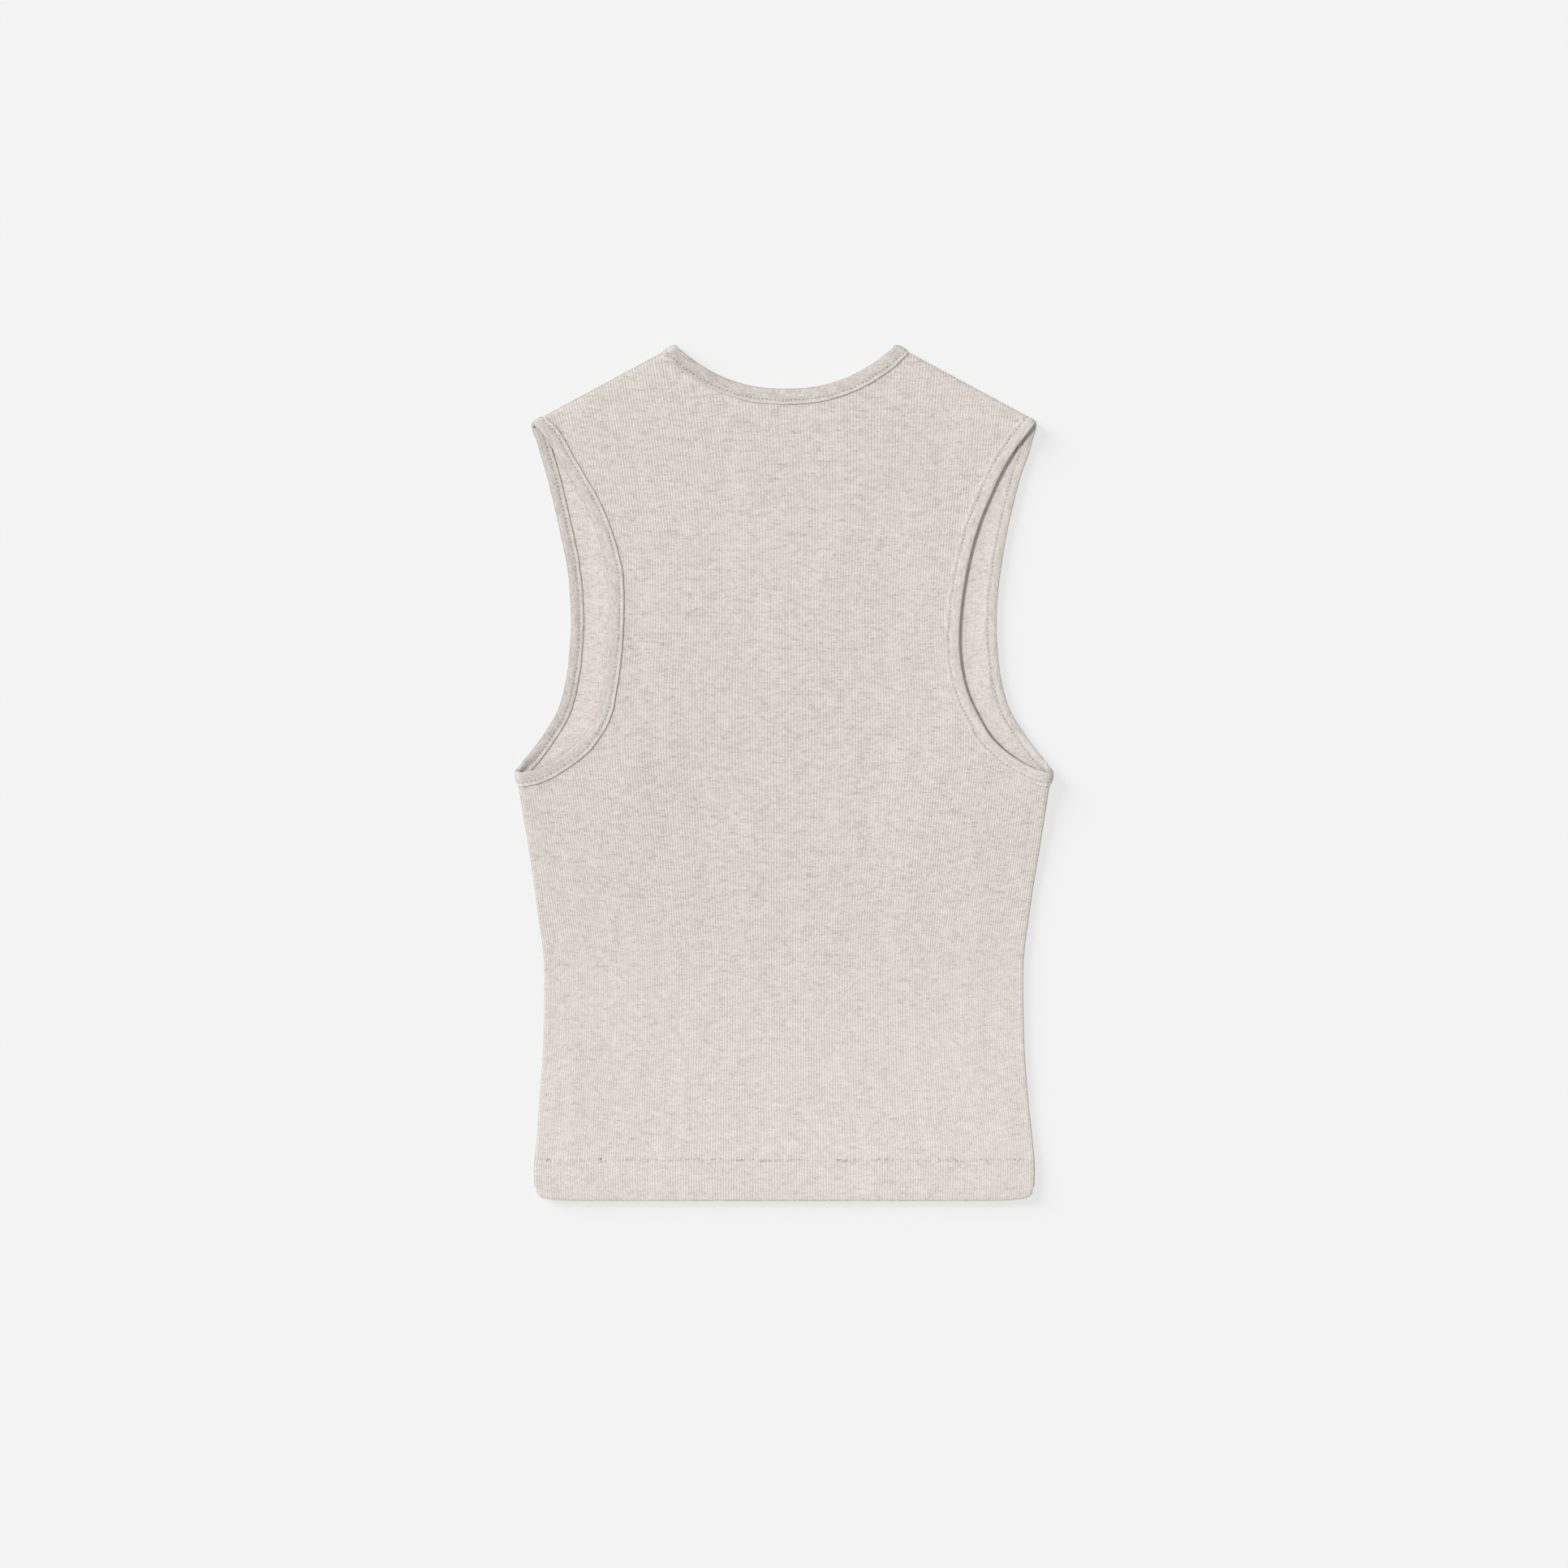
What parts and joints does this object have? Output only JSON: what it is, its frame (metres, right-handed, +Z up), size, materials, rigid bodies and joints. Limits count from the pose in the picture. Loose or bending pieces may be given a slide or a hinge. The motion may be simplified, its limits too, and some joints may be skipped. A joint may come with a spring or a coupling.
{
  "type": "tank top",
  "caption": "Sleeveless fine-ribbed knit top with bound neck and armholes and a turned-up hem, laid flat on its front with its back uppermost.",
  "frame": {"origin": "on the surface that the garment lies on, below the middle of what it covers", "axes": "+X to the picture's right, which is the wearer's right side, +Y from the hem to the neck, +Z up from the surface through the front and then the back"},
  "size_m": [0.3452, 0.5492, 0.0081],
  "materials": {
    "body_rib": "matt oatmeal melange one-by-one rib knit, light ribs over darker grooves",
    "binding_rib": "matt oatmeal melange rib strip, folded and topstitched"
  },
  "bodies": {
    "root": {"back_panel": "body_rib", "front_panel": "body_rib", "neck_binding": "binding_rib", "left_armhole_binding": "binding_rib", "right_armhole_binding": "binding_rib"}
  },
  "joints": []
}
